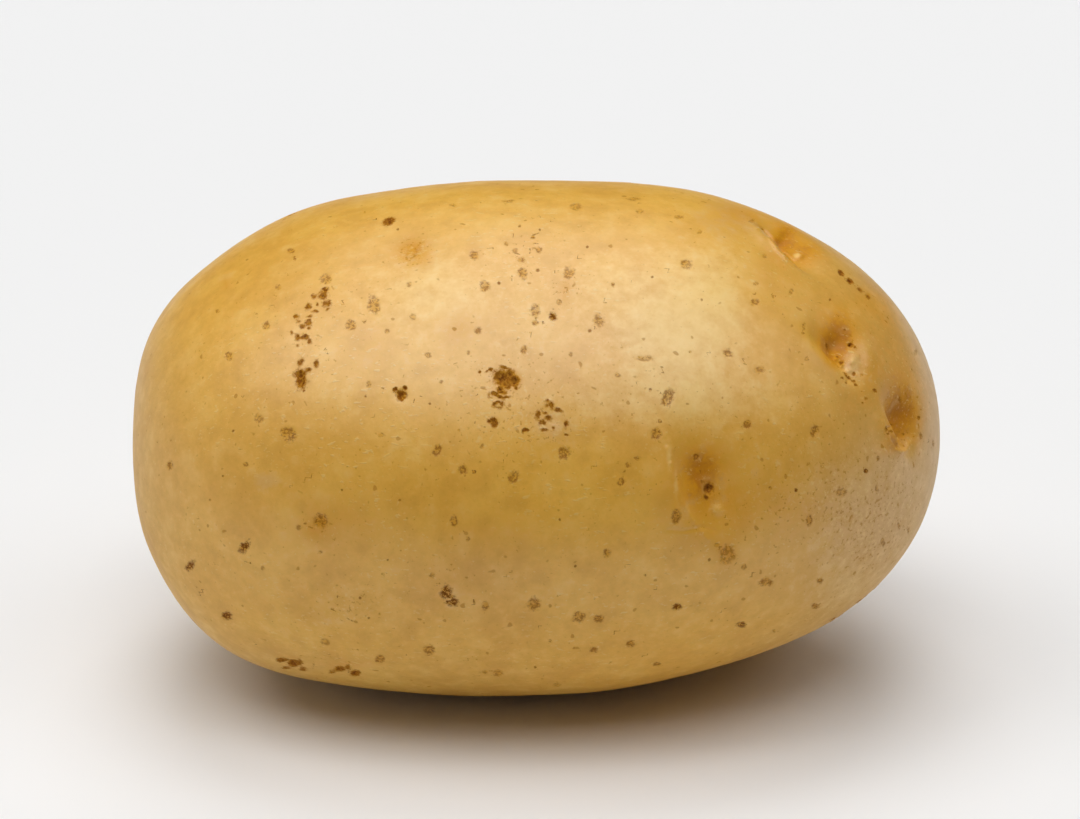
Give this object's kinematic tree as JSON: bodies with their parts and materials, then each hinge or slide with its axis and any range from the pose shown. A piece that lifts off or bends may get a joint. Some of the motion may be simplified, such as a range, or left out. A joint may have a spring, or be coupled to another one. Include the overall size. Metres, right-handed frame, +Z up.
{
  "type": "potato",
  "caption": "Whole washed table potato: a smooth oval tuber with a blunt stem end, shallow browed eyes towards the bud end and a small flat spot to rest on.",
  "frame": {"origin": "middle of the potato's bounding box at its base, on the level of the flat spot it rests on", "axes": "+X along the potato to the bud end where the eyes crowd together, -X to the blunt stem end, -Y out of the side with the clearest eyes, +Z up"},
  "size_m": [0.0992, 0.0702, 0.0624],
  "materials": {
    "skin": "satin"
  },
  "bodies": {
    "root": {"potato": "skin"}
  },
  "joints": []
}
